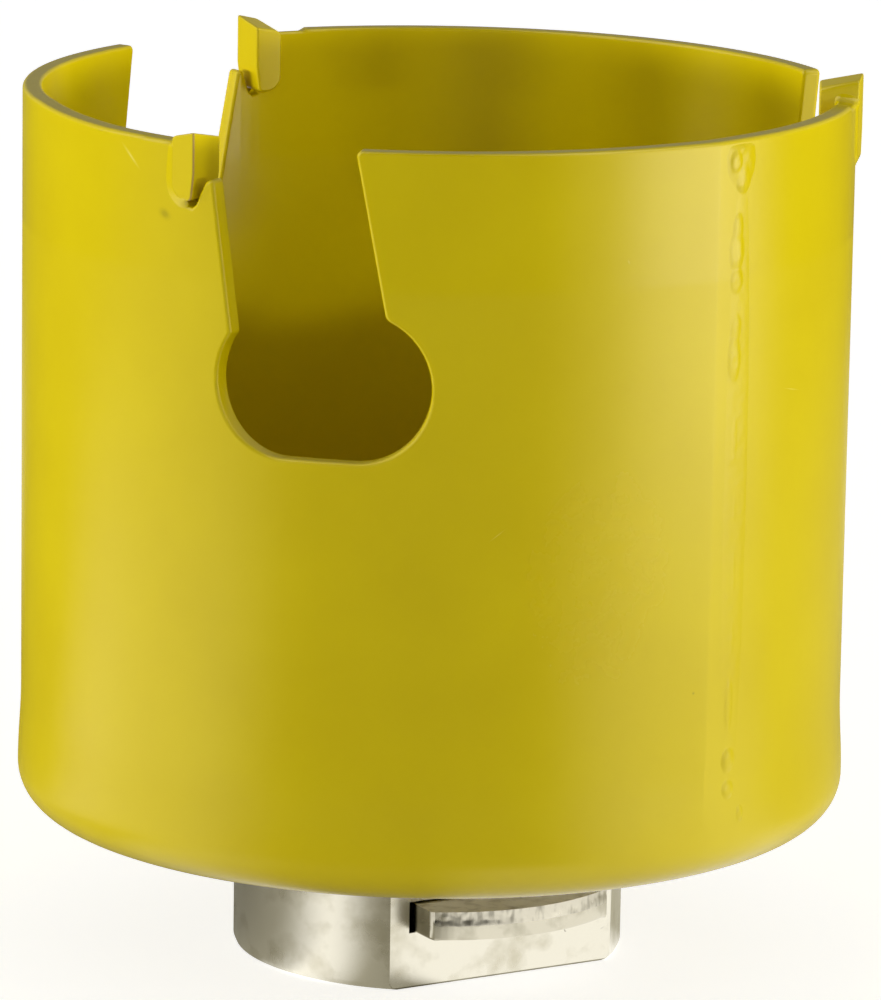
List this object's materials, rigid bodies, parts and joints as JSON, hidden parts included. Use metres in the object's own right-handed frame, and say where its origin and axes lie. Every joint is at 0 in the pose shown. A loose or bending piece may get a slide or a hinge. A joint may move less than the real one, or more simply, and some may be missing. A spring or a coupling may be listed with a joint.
{
  "type": "hole saw",
  "caption": "Cup-shaped hole saw: painted rolled steel wall with keyhole gullets and brazed tips, on a plated hub with a hexagonal arbor socket and a push-in release plate.",
  "frame": {"origin": "on the saw's axis, at the hub's lower face, in the mouth of the arbor socket", "axes": "+Z along the saw's axis towards the cutting rim; -Y out of the hub's milled flat, so the release plate is pushed in along +Y; +X to the right of the flat"},
  "size_m": [0.0684, 0.0687, 0.0741],
  "materials": {
    "cup_paint": "satin yellow enamel on rolled steel",
    "tip_paint": "yellow enamel over brazed carbide",
    "hub_nickel": "nickel-plated turned steel",
    "plate_steel": "nickel-plated stamped steel with sheared edges",
    "spring_steel": "bright drawn spring steel"
  },
  "bodies": {
    "saw": {"saw_wall": "cup_paint", "base_disc": "cup_paint", "tip_left": "tip_paint", "tip_right": "tip_paint", "tip_back": "tip_paint", "hub_body": "hub_nickel", "slide_spring_left": "spring_steel", "slide_spring_right": "spring_steel", "stop_pin": "spring_steel"},
    "slide": {"release_slide": "plate_steel"}
  },
  "joints": [
    {"name": "release_push", "type": "slide", "parent": "saw", "child": "slide", "axis": [0, 1, 0], "range_m": [0, 0.002], "stiffness_N_per_m": 600, "springref_m": -0.004, "deforming": ["slide_spring_left", "slide_spring_right"]}
  ]
}
